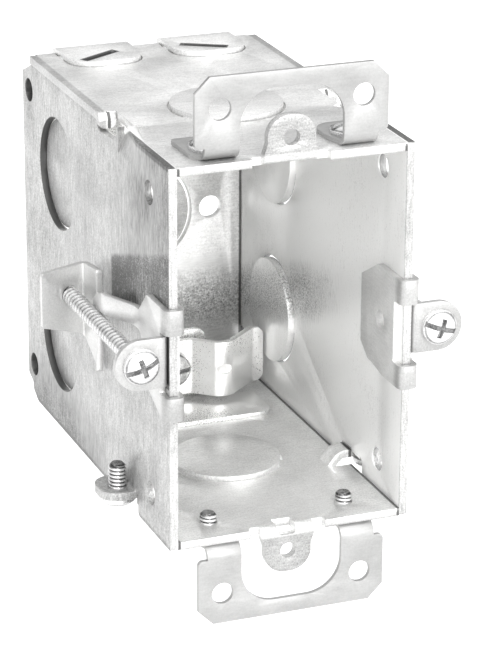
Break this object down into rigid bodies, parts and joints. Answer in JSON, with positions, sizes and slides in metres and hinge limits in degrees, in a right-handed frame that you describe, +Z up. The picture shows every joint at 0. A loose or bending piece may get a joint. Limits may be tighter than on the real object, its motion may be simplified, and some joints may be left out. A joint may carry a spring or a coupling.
{
  "type": "switch box",
  "caption": "Deep sheet-steel old-work switch box with removable sides, plaster ears, side wall clamps, cable saddles, knockouts and device tabs.",
  "frame": {"origin": "centre of the front opening, in the plane of the box's front edge", "axes": "+X to the right, +Y into the box towards its back wall, +Z up"},
  "size_m": [0.0738, 0.0911, 0.1088],
  "materials": {
    "body_zinc": "bright zinc-coated sheet, faint rolling marks",
    "plate_zinc": "zinc-coated sheet with fine upright rolling streaks",
    "ear_zinc": "bright zinc plate, satin",
    "clamp_zinc": "bright zinc plate, satin",
    "saddle_zinc": "bright zinc plate, satin",
    "screw_zinc": "bright zinc plate, polished heads"
  },
  "bodies": {
    "box": {"box_body": "body_zinc", "left_side_plate": "plate_zinc", "right_side_plate": "plate_zinc", "left_plate_screw": "screw_zinc", "right_plate_screw": "screw_zinc", "top_left_ear_screw": "screw_zinc", "top_right_ear_screw": "screw_zinc", "bottom_left_ear_screw": "screw_zinc", "bottom_right_ear_screw": "screw_zinc", "left_wall_clamp": "clamp_zinc", "right_wall_clamp": "clamp_zinc", "lower_clamp_bracket": "saddle_zinc", "upper_clamp_bracket": "saddle_zinc"},
    "top_ear": {"top_plaster_ear": "ear_zinc"},
    "bottom_ear": {"bottom_plaster_ear": "ear_zinc"},
    "left_clamp_screw": {"left_wall_clamp_screw": "screw_zinc"},
    "right_clamp_screw": {"right_wall_clamp_screw": "screw_zinc"},
    "lower_saddle": {"lower_cable_saddle": "saddle_zinc"},
    "upper_saddle": {"upper_cable_saddle": "saddle_zinc"},
    "lower_clamp_screw": {"lower_saddle_screw": "screw_zinc"},
    "upper_clamp_screw": {"upper_saddle_screw": "screw_zinc"}
  },
  "joints": [
    {"name": "top_ear_slide", "type": "slide", "parent": "box", "child": "top_ear", "axis": [0, 1, 0], "range_m": [-0.004, 0]},
    {"name": "bottom_ear_slide", "type": "slide", "parent": "box", "child": "bottom_ear", "axis": [0, 1, 0], "range_m": [-0.0023, 0.0017]},
    {"name": "left_clamp_screw_turn", "type": "hinge", "parent": "box", "child": "left_clamp_screw", "pos_m": [-0.0303, 0, 0.0006], "axis": [0, 1, 0], "continuous": true},
    {"name": "right_clamp_screw_turn", "type": "hinge", "parent": "box", "child": "right_clamp_screw", "pos_m": [0.0303, 0, 0.0006], "axis": [0, 1, 0], "continuous": true},
    {"name": "lower_saddle_slide", "type": "slide", "parent": "box", "child": "lower_saddle", "axis": [0, 1, 0], "range_m": [-0.004, 0.0008]},
    {"name": "lower_saddle_screw_turn", "type": "hinge", "parent": "lower_saddle", "child": "lower_clamp_screw", "pos_m": [0, 0.0661, -0.02815], "axis": [0, 1, 0], "range_deg": [-1820, 370]},
    {"name": "upper_saddle_slide", "type": "slide", "parent": "box", "child": "upper_saddle", "axis": [0, 1, 0], "range_m": [-0.004, 0.0008]},
    {"name": "upper_saddle_screw_turn", "type": "hinge", "parent": "upper_saddle", "child": "upper_clamp_screw", "pos_m": [0, 0.0661, 0.02815], "axis": [0, 1, 0], "range_deg": [-1820, 370]}
  ],
  "couplings": [
    {"joint": "lower_saddle_screw_turn", "follows": "lower_saddle_slide", "rad_per_m": 7913.3},
    {"joint": "upper_saddle_screw_turn", "follows": "upper_saddle_slide", "rad_per_m": 7913.3}
  ]
}
